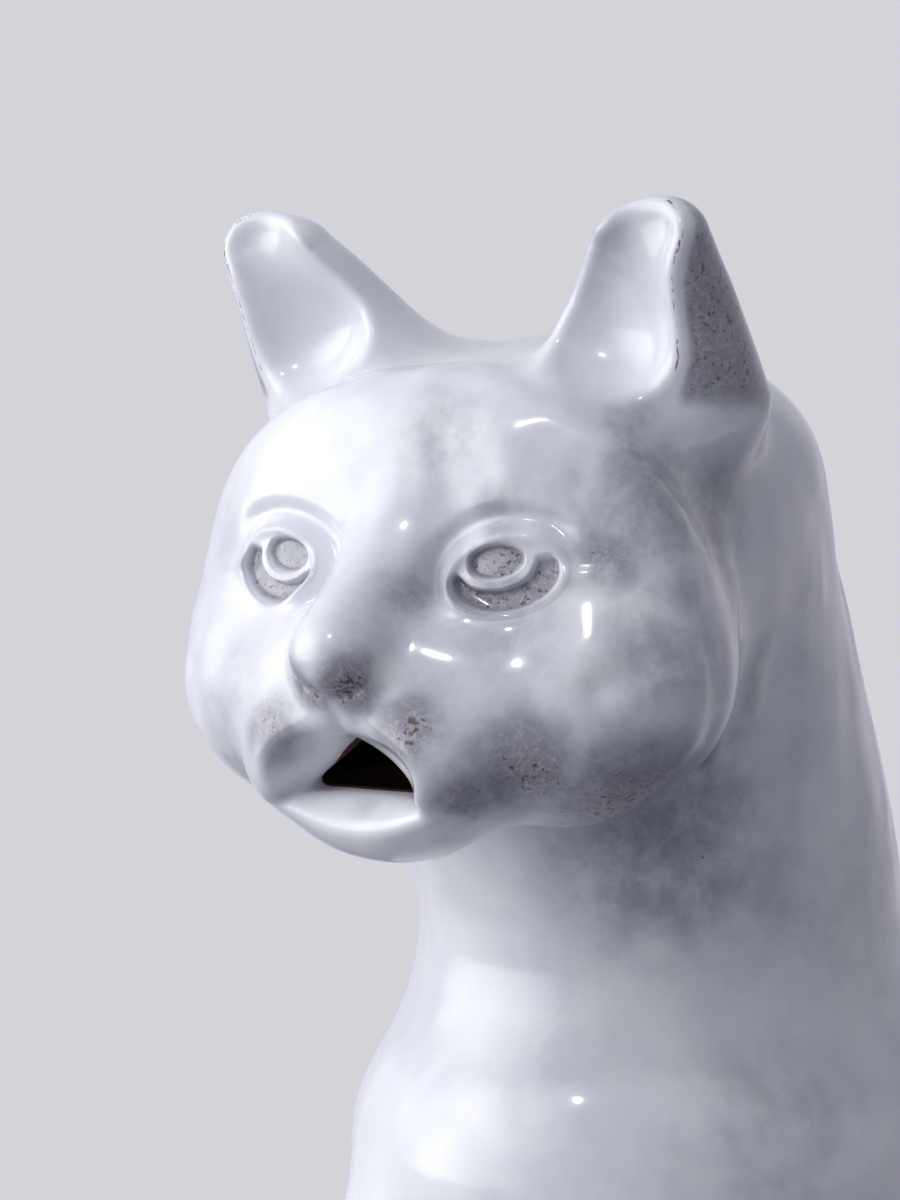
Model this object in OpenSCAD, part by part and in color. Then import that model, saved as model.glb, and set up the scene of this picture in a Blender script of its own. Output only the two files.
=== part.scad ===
// Sitting ceramic cat that stands over an incense dish.
// The hollow cat is pressed in halves, with ears, eyes and tail put on as separate pieces of clay.
// Smoke from the stick in the dish rises through the cat and leaves by its open mouth.
// The cat faces -Y, its left side is +X, and the dish stands on Z = 0 with its centre on the Z axis.

/* [Clay] */
// Thickness of the cat's wall
wall = 5; // [3.5:0.5:7]
// Gap left between pieces of clay that are set on each other
seat_gap = 0.25; // [0.1:0.05:0.4]
// Gap left under the tail, so that it lifts off with the cat
tail_clear = 0.5; // [0.3:0.1:1]

/* [Head] */
// Height of the eyes above the cat's foot
eye_h = 235; // [228:1:245]
// How far the eyes are ahead of the dish's centre
eye_ahead = 90; // [84:1:96]
// Half width, half depth and half height of the skull
skull_r = [45.5, 34, 34]; // [30:0.5:50]
// The same of the broad face
face_r = [48, 9, 31]; // [7:0.5:52]
// The same of each cheek
cheek_r = [19.5, 22.5, 17.5]; // [14:0.5:25]
// The same of the muzzle
muzzle_r = [22, 15, 16]; // [13:1:25]
// The same of the nose
nose_r = [7.5, 7.5, 6.5]; // [5:0.5:9]
// The same of each whisker pad
pad_r = [11, 10, 9]; // [7:1:13]
// The same of the chin
chin_r = [15, 10, 8]; // [7:1:17]
// Radius of the bridge of the nose, at the brow and above the nose
bridge_r = [8.5, 6]; // [5:0.5:11]
// Radius of the neck, at the nape and at the shoulders
neck_r = [43.5, 44]; // [36:0.5:50]
// Radius of the passage from the head's hollow to the mouth with its wall, inside and at the mouth
passage_r = [24, 16]; // [13:0.5:26]

/* [Mouth] */
// Half width of the mouth's opening
mouth_w = 9.5; // [7:0.5:11]
// Half height of the mouth's opening
mouth_h = 5; // [4:0.5:6]

/* [Ears and eyes] */
// Radius of the ear's outer edge, at its root and at its tip
ear_side_r = [13.5, 6]; // [5:0.5:16]
// Radius of the ear's inner edge, at its root and near its tip
ear_inner_r = [15, 8.5]; // [6:0.5:17]
// Radius of the ear's hollow, at its root and at its tip
ear_scoop_r = [13.5, 6.5]; // [5:0.5:14]
// Least thickness of the ear
ear_wall = 2.5; // [2:0.5:4]
// Distance of each eye from the middle of the face
eye_side = 23.9; // [22:0.1:26]
// Half width of an eye with its lids
eye_w = 10.5; // [8:0.5:12]
// Half height of an eye with its lids
eye_tall = 6.5; // [5:0.5:8]
// How far the middle of an eye stands out
eye_bulge = 2.2; // [1.5:0.1:3]
// Thickness of an eye at its edge
eye_edge = 0.9; // [0.6:0.1:1.2]

/* [Body] */
// Half width, half depth and half height of the chest
chest_r = [57, 61, 44]; // [40:1:66]
// The same of the trunk
trunk_r = [55, 58, 84]; // [48:1:88]
// The same of the rump
rump_r = [54, 47, 56]; // [42:1:60]
// The same of each haunch
haunch_r = [25, 44, 40]; // [22:1:46]
// The same of the web of clay between the forelegs
web_r = [36, 36, 60]; // [30:1:64]
// Radius of a foreleg, at the shoulder and above the paw
foreleg_r = [20, 14]; // [12:1:22]
// Half width, half depth and half height of a front paw
front_paw_r = [15, 20, 12]; // [10:1:22]
// The same of a hind paw
hind_paw_r = [14, 28, 13]; // [11:1:30]

/* [Tail] */
// Radius of the tail at its root
tail_root_r = 9; // [7:0.5:10]
// Radius of the tail near its tip
tail_tip_r = 6.5; // [5:0.5:8]
// How high the tail's root stands above the way that it lies
tail_rise = 16; // [8:1:22]

/* [Dish] */
// Radius of the dish at its rim
dish_r = 106; // [102:1:116]
// Height of the dish's rim
dish_h = 17; // [12:1:24]
// Thickness of the dish's floor
floor_t = 6; // [5:0.5:9]
// Thickness of the dish's rim
rim_t = 5; // [4:0.5:7]
// How far the rim leans out
rim_lean = 7; // [4:1:10]

/* [Incense holder] */
// Radius of the holder's foot
holder_r = 11; // [9:0.5:14]
// Height of the holder above the dish's floor
holder_h = 17; // [14:1:24]
// Radius of the holder's top
holder_top_r = 4; // [3.5:0.25:6]
// Radius of the hole for the incense stick
stick_r = 1.3; // [1:0.1:1.8]
// Depth of the hole for the incense stick
stick_deep = 14; // [10:1:16]
// Depth of the holder's seat in the dish's floor
seat_deep = 2.5; // [2:0.25:3]
// Clearance around the holder in its seat
holder_fit = 0.4; // [0.3:0.1:0.8]

/* [Hidden] */
// Fineness of the round pieces
$fn = 96;
// Number of places around each half, of levels up each piece, and how much the torso's crowd downwards
ROUND_N = 30;
TORSO_N = 24;
TORSO_CROWD = 1.15;
NAPE_N = 16;
MUZZLE_N = 11;
EAR_N = [16, 10];
EYE_N = [5, 24];
TAIL_N = [40, 12];
// Ways to find the surface: starts for torso, head, muzzle, ear and eye, share of each step,
// closeness and most steps
FAR = 130;
NAPE_FAR = 150;
MUZZLE_FAR = 65;
EAR_FAR = 60;
EYE_FAR = 30;
STRIDE = 0.8;
CLOSE = 0.005;
MOST_STEPS = 60;
// Halvings that find where an ear stands on the head, and the shares of its length they start from
EAR_TRIES = 12;
EAR_LOW = -0.5;
EAR_HIGH = 0.8;

// Places of the body's forms, from the middle of the cat's foot
chest_at = [0, -5, 124.5];
trunk_at = [0, 20, 86];
rump_at = [0, 36, 38];
haunch_at = [40, 22, 31];
web_at = [0, -22, 50];
shoulder_at = [22, -42, 106];
wrist_at = [20, -50, 16];
front_paw_at = [20, -62, 8];
hind_paw_at = [48, -27, 8];
trunk_pitch = -14;
hind_paw_yaw = 8;
// Places of the head's forms, from the point between the eyes
skull_at = [0, 40, 2];
face_at = [0, 15, 1];
cheek_at = [24.5, 10.5, -17.5];
muzzle_at = [0, 4, -31];
brow_at = [0, 13, 14.5];
bridge_at = [0, -11.5, -11];
nose_at = [0, -14, -13.5];
pad_at = [12, -4.5, -32];
chin_at = [0, 0, -40];
face_pitch = 9;
passage_at = [[0, 28, -4], [0, 4, -29]];
nape_at = [0, 61.5, -4];
withers_at = [0, 84, -61.5];
ear_side_at = [[39.5, 33.5, 26], [43.5, 19, 55.5]];
ear_inner_at = [[24.5, 34, 28], [36.5, 20, 52.5]];
ear_scoop_at = [[33, 10, 37], [40, 10.5, 55]];
// Where the planes of the head's levels meet, under the chin
throat_at = [0, 10, -56];
// Last plane of the nape's levels, from level and backwards, and the middle of the muzzle
brow_plane = 92;
muzzle_core = [0, 15, -18];
mouth_at = [0, -8.6, -32];
mouth_slope = 30;
mouth_peak = 0.35;
eye_yaw = 19;
// How far an ear wraps round its hollow to each side, how much of that it loses towards the tip,
// and how much its spokes turn up there
ear_wrap = 58;
ear_close = 0.4;
ear_up = 0.6;
// Share of an eye that is flat in its middle
EYE_CORE = 0.15;
// How far behind an eye its seat on the face is looked for
EYE_DEEP = 15;
// Where the tail's root and tip lie around the body, and the shares of it that rise and that round off
tail_turn = [88, -58];
tail_lift = 0.25;
tail_round = 0.06;
TAIL_END = 0.25;
// Small roundings of the dish and the holder
foot_bevel = 3;
rim_round = 1.5;
holder_collar = 2;
holder_neck = 2;
// How softly the forms run into each other, and how far from the throat head and body still meet
soft_paw = 6;
soft_leg = 10;
soft_bridge = 8;
soft_ear = 6;
soft_neck = 10;
soft_shoulder = 18;
soft_reach = 45;

foot_z = floor_t;
eye = [0, -eye_ahead, foot_z + eye_h];
throat = eye + throat_at;
paw_top = foot_z + max(front_paw_at.z + front_paw_r.z, hind_paw_at.z + hind_paw_r.z) + 2 * soft_paw;
rim_in_r = dish_r - rim_t;
floor_r = rim_in_r - rim_lean;
base_r = floor_r - rim_t;
seat_r = holder_r + holder_fit;

GLAZE = [0.91, 0.92, 0.94];

// Each form is [middle, half sizes, softness, pitch, yaw].
BODY_FORMS = [
    [chest_at, chest_r, 1, 0, 0],
    [trunk_at, trunk_r, 20, trunk_pitch, 0],
    [rump_at, rump_r, 30, 0, 0],
    [web_at, web_r, 12, 0, 0],
    [haunch_at, haunch_r, 10, 0, 0],
];
PAW_FORMS = [
    [front_paw_at, front_paw_r, soft_paw, 0, 0],
    [hind_paw_at, hind_paw_r, soft_paw, 0, hind_paw_yaw],
];
HEAD_FORMS = [
    [skull_at, skull_r, 1, 0, 0],
    [face_at, face_r, 22, face_pitch, 0],
    [cheek_at, cheek_r, 12, 0, 0],
    [muzzle_at, muzzle_r, 8, 0, 0],
    [nose_at, nose_r, 4, 0, 0],
    [pad_at, pad_r, 5, 0, 0],
    [chin_at, chin_r, 5, 0, 0],
];

function mix(a, b, t) = a + (b - a) * t;
function unit(v) = v / norm(v);
function soft_min(a, b, k) = min(a, b) - pow(max(k - abs(a - b), 0), 2) / (4 * k);
function turn_x(v, a) = [v.x, v.y * cos(a) + v.z * sin(a), v.z * cos(a) - v.y * sin(a)];
function turn_z(v, a) = [v.x * cos(a) + v.y * sin(a), v.y * cos(a) - v.x * sin(a), v.z];

// About how far p is outside an ellipsoid, negative inside it. With a skirt it runs straight down
// below its middle.
function ellipsoid(p, form, skirt) =
    let (v = turn_x(turn_z(p - form[0], form[4]), form[3]),
         q = [v.x, v.y, skirt ? max(v.z, 0) : v.z],
         r = form[1],
         k0 = norm([q.x / r.x, q.y / r.y, q.z / r.z]),
         k1 = norm([q.x / pow(r.x, 2), q.y / pow(r.y, 2), q.z / pow(r.z, 2)]))
    k0 * (k0 - 1) / max(k1, 1e-6);

// The same for a limb that tapers from ends[0] to ends[1].
function limb(p, ends, r) =
    let (along = ends[1] - ends[0],
         t = max(0, min(1, (p - ends[0]) * along / (along * along))))
    norm(p - ends[0] - t * along) - mix(r[0], r[1], t);

// The same for a row of forms that run softly into each other, and into what d is the distance to.
function forms(p, rows, d = 1000, skirt = false, i = 0) =
    i == len(rows) ? d
        : forms(p, rows, soft_min(d, ellipsoid(p, rows[i], skirt), rows[i][2]), skirt, i + 1);

function head_shape(h) =
    soft_min(soft_min(forms(h, HEAD_FORMS), limb(h, [brow_at, bridge_at], bridge_r), soft_bridge),
             limb(h, [nape_at, withers_at], neck_r), soft_neck);
function body_shape(b, skirt) =
    soft_min(forms(b, BODY_FORMS, 1000, skirt), limb(b, [shoulder_at, wrist_at], foreleg_r), soft_leg);

// The whole cat without ears, eyes and tail, and the form that its hollow follows, which has no paws
// and has the passage to the mouth.
// Far above the throat only the head counts, and far below it only the body.
function head_part(m) = m.z < throat.z - soft_reach ? 1000 : head_shape(m - eye);
function body_part(m, skirt) =
    m.z > throat.z + soft_reach ? 1000 : body_shape(m - [0, 0, foot_z], skirt);
function cat(p) =
    let (m = [abs(p.x), p.y, p.z], body = body_part(m, false))
    soft_min(head_part(m), m.z > paw_top ? body : forms(m - [0, 0, foot_z], PAW_FORMS, body),
             soft_shoulder);
function core(p) =
    let (m = [abs(p.x), p.y, p.z],
         head = soft_min(head_part(m), limb(m - eye, passage_at, passage_r), soft_neck))
    soft_min(head, body_part(m, true), soft_shoulder);

// The ear on the left side, and the hollow in it.
function ear_shape(h) =
    soft_min(limb(h, ear_side_at, ear_side_r), limb(h, ear_inner_at, ear_inner_r), soft_ear);
function ear_hollow(h) = limb(h, ear_scoop_at, ear_scoop_r);

// Distance from a point, along dir, at which a shape's surface is met, or a level around it.
// The search starts at t. From a start outside the shape it comes back, or goes on if side is -1.
function reach(shape, from, dir, t, level = 0, side = 1, n = 0) =
    let (d = shape(from + t * dir) - level)
    abs(d) < CLOSE || n > MOST_STEPS ? t
        : reach(shape, from, dir, max(0, t - side * STRIDE * d), level, side, n + 1);
CAT = function (p) cat(p);
CORE = function (p) core(p);
EAR = function (p) ear_shape(p);
EAR_HOLLOW = function (p) ear_hollow(p);
// Distances to the cat's skin, outside and inside.
function skin(from, dir, start, inside) =
    let (out = reach(CAT, from, dir, start))
    inside ? min(out - wall, reach(CORE, from, dir, 0, -wall)) : out;

// Places around one half, from the front by the left side to the back.
ROUND = [for (a = [0:ROUND_N]) -90 + 180 * a / ROUND_N];
function spoke(tilt, turn) = [cos(turn), sin(turn) * cos(tilt), sin(turn) * sin(tilt)];

// Middle of the cat in a level plane of the torso.
function torso_middle(z) =
    let (c = [0, 0, z], front = reach(CAT, c, [0, -1, 0], FAR), back = reach(CAT, c, [0, 1, 0], FAR))
    [0, (back - front) / 2, z];
function torso_ring(z, inside) =
    let (c = torso_middle(z))
    [for (a = ROUND) c + skin(c, spoke(0, a), FAR, inside) * spoke(0, a)];

// Middle and rings of the head in a plane that leans back from the throat.
function nape_middle(tilt) =
    let (d = spoke(tilt, 90),
         near = reach(CAT, throat, d, 0, 0, -1),
         far = reach(CAT, throat, d, NAPE_FAR))
    throat + (near + far) / 2 * d;
function nape_ring(tilt, inside) =
    let (c = nape_middle(tilt), to_throat = norm(c - throat))
    [for (a = ROUND)
        let (start = a < 0 ? min(FAR, to_throat / -sin(a)) : FAR)
        c + skin(c, spoke(tilt, a), start, inside) * spoke(tilt, a)];

// Rings that close from the brow to the mouth, seen from the middle of the muzzle.
function mouth_point(turn) =
    eye + mouth_at + [mouth_w * cos(turn) * (1 - mouth_peak * sin(turn)),
                      -mouth_h * sin(turn) * sin(mouth_slope), mouth_h * sin(turn) * cos(mouth_slope)];
function muzzle_ring(brow, t, inside) =
    let (c = eye + muzzle_core)
    [for (i = [0:ROUND_N])
        let (d = unit(mix(brow[i], mouth_point(ROUND[i]), t) - c))
        c + skin(c, d, MUZZLE_FAR, inside) * d];

function torso_skin(inside) =
    [for (i = [0:TORSO_N]) torso_ring(mix(foot_z, throat.z, pow(i / TORSO_N, TORSO_CROWD)), inside)];
function head_skin(inside) =
    let (brow = nape_ring(brow_plane, false))
    concat([torso_ring(throat.z, inside)],
           [for (i = [1:NAPE_N]) nape_ring(brow_plane * i / NAPE_N, inside)],
           [for (i = [1:MUZZLE_N]) muzzle_ring(brow, i / MUZZLE_N, inside)]);

// Closed solid between an outer and an inner grid of points.
module sheet(outer, inner) {
    rows = len(outer);
    cols = len(outer[0]);
    in = rows * cols;
    function at(r, c) = r * cols + c;
    function quad(a, b, c, d) = [[a, b, c], [a, c, d]];
    polyhedron(
        points = concat([for (r = outer) each r], [for (r = inner) each r]),
        faces = concat(
            [for (r = [0:rows - 2], c = [0:cols - 2]) each
                quad(at(r, c), at(r + 1, c), at(r + 1, c + 1), at(r, c + 1))],
            [for (r = [0:rows - 2], c = [0:cols - 2]) each
                quad(in + at(r, c), in + at(r, c + 1), in + at(r + 1, c + 1), in + at(r + 1, c))],
            [for (c = [0:cols - 2]) each
                quad(at(0, c), at(0, c + 1), in + at(0, c + 1), in + at(0, c))],
            [for (c = [0:cols - 2]) each
                quad(at(rows - 1, c), in + at(rows - 1, c), in + at(rows - 1, c + 1), at(rows - 1, c + 1))],
            [for (r = [0:rows - 2]) each
                quad(at(r, 0), in + at(r, 0), in + at(r + 1, 0), at(r + 1, 0))],
            [for (r = [0:rows - 2]) each
                quad(at(r, cols - 1), at(r + 1, cols - 1), in + at(r + 1, cols - 1), in + at(r, cols - 1))]));
}

// Closed solid between two stacked discs of points, each with an open middle ring that is filled.
module pellet(base, top) {
    rows = len(base);
    cols = len(base[0]) - 1;
    in = rows * cols;
    function at(r, c) = r * cols + c % cols;
    function quad(a, b, c, d) = [[a, b, c], [a, c, d]];
    function ring(r) = [for (c = [0:cols - 1]) r[c]];
    polyhedron(
        points = concat([for (r = base) each ring(r)], [for (r = top) each ring(r)]),
        faces = concat(
            [[for (c = [0:cols - 1]) at(0, c)], [for (c = [cols - 1:-1:0]) in + at(0, c)]],
            [for (r = [0:rows - 2], c = [0:cols - 1]) each
                quad(at(r, c), at(r + 1, c), at(r + 1, c + 1), at(r, c + 1))],
            [for (r = [0:rows - 2], c = [0:cols - 1]) each
                quad(in + at(r, c), in + at(r, c + 1), in + at(r + 1, c + 1), in + at(r + 1, c))],
            [for (c = [0:cols - 1]) each
                quad(at(rows - 1, c), in + at(rows - 1, c), in + at(rows - 1, c + 1), at(rows - 1, c + 1))]));
}

// Closed tube through rings of points.
module tube(rings) {
    rows = len(rings);
    cols = len(rings[0]);
    function at(r, c) = r * cols + c % cols;
    polyhedron(
        points = [for (r = rings) each r],
        faces = concat(
            [[for (c = [cols - 1:-1:0]) at(0, c)], [for (c = [0:cols - 1]) at(rows - 1, c)]],
            [for (r = [0:rows - 2], c = [0:cols - 1]) each
                [[at(r, c), at(r, c + 1), at(r + 1, c + 1)], [at(r, c), at(r + 1, c + 1), at(r + 1, c)]]]));
}

module torso_half() {
    color(GLAZE) sheet(torso_skin(false), torso_skin(true));
}

module head_half() {
    color(GLAZE) sheet(head_skin(false), head_skin(true));
}

module torso_left() {
    torso_half();
}

module torso_right() {
    mirror([1, 0, 0]) torso_half();
}

module head_left() {
    head_half();
}

module head_right() {
    mirror([1, 0, 0]) head_half();
}

// Left ear, as spokes from the middle of its hollow that turn up towards the tip.
ear_axis = unit(ear_scoop_at[1] - ear_scoop_at[0]);
ear_out = unit(cross(ear_axis, [0, 1, 0]));
ear_back = cross(ear_out, ear_axis);
function ear_spoke(t, turn) =
    unit(cos(turn) * ear_back + sin(turn) * ear_out + ear_up * pow(max(t, 0), 3) * ear_axis);
function ear_point(t, turn, inside) =
    let (from = mix(ear_scoop_at[0], ear_scoop_at[1], t),
         d = ear_spoke(t, turn * (1 - ear_close * pow(max(t, 0), 2))),
         out = reach(EAR, from, d, EAR_FAR),
         in = reach(EAR_HOLLOW, from, d, EAR_FAR))
    eye + from + (inside ? min(in, out - ear_wall) : max(out, in + ear_wall)) * d;
// Share of the way along the ear at which it stands on the head.
function ear_root(turn, inside, low = EAR_LOW, high = EAR_HIGH, n = 0) =
    n == EAR_TRIES ? high :
    let (t = (low + high) / 2)
    cat(ear_point(t, turn, inside)) < seat_gap ? ear_root(turn, inside, t, high, n + 1)
        : ear_root(turn, inside, low, t, n + 1);
function ear_column(turn, inside) =
    let (root = ear_root(turn, inside))
    [for (j = [0:EAR_N[1]]) ear_point(mix(root, 1, j / EAR_N[1]), turn, inside)];
function ear_face(inside) =
    [for (i = [0:EAR_N[0]]) ear_column(mix(ear_wrap, -ear_wrap, i / EAR_N[0]), inside)];

module ear() {
    color(GLAZE) sheet(ear_face(false), ear_face(true));
}

module ear_left() {
    ear();
}

module ear_right() {
    mirror([1, 0, 0]) ear();
}

// Left eye, a flat pellet of clay laid on the face and pressed up in the middle.
function eye_point(share, turn, top) =
    let (ahead = [sin(eye_yaw), -cos(eye_yaw), 0],
         side = [cos(eye_yaw), sin(eye_yaw), 0],
         at = eye + [eye_side, 0, 0] + share * (eye_w * cos(turn) * side + eye_tall * sin(turn) * [0, 0, 1]),
         lie = reach(CAT, at - EYE_DEEP * ahead, ahead, EYE_FAR, seat_gap) - EYE_DEEP)
    at + (lie + (top ? eye_edge + eye_bulge * (1 - share * share) : 0)) * ahead;
function eye_face(top) =
    [for (j = [0:EYE_N[0]])
        [for (i = [0:EYE_N[1]]) eye_point(mix(EYE_CORE, 1, j / EYE_N[0]), 360 * i / EYE_N[1], top)]];

module eye_pellet() {
    color(GLAZE) pellet(eye_face(false), eye_face(true));
}

module eye_left() {
    eye_pellet();
}

module eye_right() {
    mirror([1, 0, 0]) eye_pellet();
}

// Tail, laid round the left haunch on the dish's floor, or over its rim where the floor ends.
function tail_r(s) = mix(tail_root_r, tail_tip_r, s);
// Height of the dish's inner face at a distance r from its middle.
function dish_top(r) = mix(floor_t, dish_h, max(0, min(1, (r - floor_r) / rim_lean)));
// Middle of the tail at a share s of its length, beside the body at a height z.
function beside_body(s, z) =
    let (turn = mix(tail_turn[0], tail_turn[1], s), c = torso_middle(z))
    c + reach(CAT, c, spoke(0, turn), FAR, tail_r(s) + seat_gap) * spoke(0, turn);
function tail_middle(s) =
    let (lie = tail_clear + tail_r(s),
         low = beside_body(s, foot_z + lie),
         over = dish_top(norm([low.x, low.y]) + tail_r(s)),
         rise = foot_z + tail_rise * pow(max(0, 1 - s / tail_lift), 2))
    beside_body(s, lie + max(rise, over));
function tail_ring(s) =
    let (step = 0.01,
         at = tail_middle(s),
         along = unit(tail_middle(s + step) - tail_middle(s - step)),
         side = unit(cross(along, [0, 0, 1])),
         up = cross(side, along),
         end = min(1, min(s, 1 - s) / tail_round),
         r = tail_r(s) * max(TAIL_END, sqrt(1 - pow(1 - end, 2))))
    [for (i = [0:TAIL_N[1] - 1])
        at + r * (cos(360 * i / TAIL_N[1]) * side + sin(360 * i / TAIL_N[1]) * up)];

module tail() {
    color(GLAZE) tube([for (j = [0:TAIL_N[0]]) tail_ring(j / TAIL_N[0])]);
}

// Dish, turned in one piece, with the holder's seat in the middle of its floor.
module dish() {
    color(GLAZE) rotate_extrude() polygon([
        [0, 0],
        [base_r, 0],
        [floor_r + rim_t, floor_t - foot_bevel],
        [dish_r, dish_h - rim_round],
        [dish_r - rim_round, dish_h],
        [rim_in_r + rim_round, dish_h],
        [rim_in_r, dish_h - rim_round],
        [floor_r, floor_t],
        [seat_r, floor_t],
        [seat_r, floor_t - seat_deep],
        [0, floor_t - seat_deep],
    ]);
}

// Holder of the incense stick, turned in one piece, loose in its seat.
module incense_holder() {
    top_z = floor_t + holder_h;
    color(GLAZE) rotate_extrude() polygon([
        [0, floor_t - seat_deep],
        [holder_r, floor_t - seat_deep],
        [holder_r, floor_t + holder_collar],
        [holder_top_r + holder_neck, floor_t + holder_collar * 2],
        [holder_top_r, top_z],
        [stick_r, top_z],
        [stick_r, top_z - stick_deep],
        [0, top_z - stick_deep],
    ]);
}

torso_left();
torso_right();
head_left();
head_right();
ear_left();
ear_right();
eye_left();
eye_right();
tail();
dish();
incense_holder();
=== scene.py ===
"""Looks of the sitting ceramic cat that stands over an incense dish.

The cat's clay is one field of soft forms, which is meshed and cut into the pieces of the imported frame.
Shapes are worked out in millimetres and made in metres.
"""
import math

import bmesh
import bpy
import numpy as np
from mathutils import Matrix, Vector
from numpy.linalg import norm


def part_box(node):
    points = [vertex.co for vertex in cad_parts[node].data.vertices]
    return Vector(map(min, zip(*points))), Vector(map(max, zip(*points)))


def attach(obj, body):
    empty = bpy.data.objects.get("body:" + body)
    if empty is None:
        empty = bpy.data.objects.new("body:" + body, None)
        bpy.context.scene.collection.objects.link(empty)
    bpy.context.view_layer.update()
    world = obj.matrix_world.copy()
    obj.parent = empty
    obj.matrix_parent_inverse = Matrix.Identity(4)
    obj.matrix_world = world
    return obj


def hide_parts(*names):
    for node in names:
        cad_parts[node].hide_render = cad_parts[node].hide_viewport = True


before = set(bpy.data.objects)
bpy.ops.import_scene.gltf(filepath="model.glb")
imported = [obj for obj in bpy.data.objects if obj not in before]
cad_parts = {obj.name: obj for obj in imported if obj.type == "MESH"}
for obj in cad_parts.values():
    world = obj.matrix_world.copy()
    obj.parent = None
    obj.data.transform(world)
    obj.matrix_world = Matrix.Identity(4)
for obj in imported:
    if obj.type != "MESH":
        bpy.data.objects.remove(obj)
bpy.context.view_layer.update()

# A millimetre in metres, and a distance that is further away than anything.
MM = 0.001
FAR = 1000.0


def box_mm(node):
    """Lowest and highest corner of a node, in millimetres."""
    return [np.array(corner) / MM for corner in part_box(node)]


# Fineness of the meshes: head, body, and halvings of the eyes.
HEAD_STEP = 0.75
BODY_STEP = 1.5
EYE_HALVINGS = 2

# How far the head's front is ahead of the eyes, and the eyes above the seam between torso and head.
NOSE_AHEAD = 21.3
EYES_UP = 56.0
# Places that the frame gives: the cat's foot, the seam, and the point between the eyes.
FOOT_Z = box_mm("torso_left")[0][2]
HEAD_LOW = box_mm("head_left")[0]
SEAM_Z = HEAD_LOW[2]
EYES = np.array([0.0, HEAD_LOW[1] + NOSE_AHEAD, SEAM_Z + EYES_UP])
FOOT = np.array([0.0, 0.0, FOOT_Z])
# Thickness of the clay, the mouth's place from between the eyes, and how much thicker the clay is there.
WALL = 5.0
MOUTH_AT = np.array([0, -8.6, -32.0])
LIP_WALL = 6.0
LIP_WALL_R = 16.0

# Forms of the body from its foot, and of the head from between the eyes. The left side is given.
# Each form is: middle, half sizes, softness, and pitch and yaw where it is turned.
BODY_FORMS = [
    ((0, -5, 124.5), (57, 61, 44), 1),
    ((0, 20, 86), (55, 58, 84), 20, -14, 0),
    ((0, 36, 38), (54, 47, 56), 30),
    ((0, -22, 50), (36, 36, 60), 12),
    ((40, 22, 31), (25, 44, 40), 10),
]
PAW_FORMS = [
    ((20, -62, 8), (15, 20, 12), 6),
    ((48, -27, 8), (14, 28, 13), 6, 0, 8),
]
HEAD_FORMS = [
    ((0, 40, 2), (45.5, 34, 34), 1),
    ((20, 59, 17), (22.5, 23, 17), 12),
    ((0, 15, 1), (48, 9, 31), 22, 9, 0),
    ((30, 18, -17.5), (20.5, 19.5, 16.5), 15),
    ((25, 13, -26), (14.5, 14.5, 12), 20),
    ((0, -2, -19), (24, 12.5, 15), 14),
    ((0, 4, -31), (22, 15, 16), 8),
    ((0, -14, -13.5), (7.5, 7.5, 6.5), 6),
    ((12, -4.5, -32), (11, 10, 9), 8),
    ((0, 0, -40), (15, 10, 8), 5),
]
# Limbs are: two ends, radius at each end.
FORELEG = ((22, -42, 106), (20, -50, 16), 20, 14)
BRIDGE = ((0, 13, 14.5), (0, -11.5, -11), 8.5, 6)
NECK = ((0, 61.5, -4), (0, 84, -61.5), 43.5, 44.5)
PASSAGE = ((0, 28, -4), (0, 6, -27), 24, 12.5)
EAR_SIDE = ((38.5, 35, 28), (43.3, 19.5, 55.3), 12.5, 6.2)
EAR_INNER = ((24.5, 34, 28), (36.5, 20, 52.5), 15, 8.5)
EAR_SCOOP = ((31, 8.5, 39), (40, 9, 56.5), 16.5, 8.5)
# How softly the forms run into each other, and how far from the seam head and body still meet.
SOFT_LEG = 10
SOFT_BRIDGE = 8
SOFT_NECK = 12
SOFT_SHOULDER = 18
SOFT_EAR = 6
SOFT_EAR_ROOT = 9
SOFT_EAR_RIM = 2.5
SOFT_FOOT = 2.5
SOFT_HOLLOW = 1.5
REACH = 45


def smooth(x):
    """Soft step from 0 to 1."""
    t = np.clip(x, 0, 1)
    return t * t * (3 - 2 * t)


def bell(x, width):
    """Bump of height 1 around 0."""
    return np.exp(-(x / width) ** 2)


def faded(at, limits):
    """Share of points inside soft limits: each is an axis, a start and the way to full strength."""
    return np.prod([smooth((at[:, axis] - start) / way) for axis, start, way in limits], axis=0)


def soft_min(a, b, k):
    """Smaller of two fields, rounded where they meet."""
    return np.minimum(a, b) - np.maximum(k - np.abs(a - b), 0) ** 2 / (4 * k)


def soft_max(a, b, k):
    """Larger of two fields, rounded where they meet."""
    return -soft_min(-a, -b, k)


def oval(across, radii):
    """About how far points are outside an ellipse or ellipsoid around the origin."""
    k0 = sum((v / r) ** 2 for v, r in zip(across, radii)) ** 0.5
    k1 = sum((v / r ** 2) ** 2 for v, r in zip(across, radii)) ** 0.5
    return k0 * (k0 - 1) / np.maximum(k1, 1e-6)


def rotated(u, v, degrees):
    """Two coordinates turned by an angle."""
    if not degrees:
        return u, v
    c, s = math.cos(math.radians(degrees)), math.sin(math.radians(degrees))
    return u * c + v * s, v * c - u * s


def ellipsoid(p, form, skirt=False):
    """Distance to a form. With a skirt it runs straight down below its middle."""
    middle, radii, _, pitch, yaw = (*form, 0, 0)[:5]
    x, y, z = (p[:, i] - middle[i] for i in range(3))
    x, y = rotated(x, y, yaw)
    y, z = rotated(y, z, pitch)
    if skirt:
        z = np.maximum(z, 0)
    return oval((x, y, z), radii)


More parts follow.
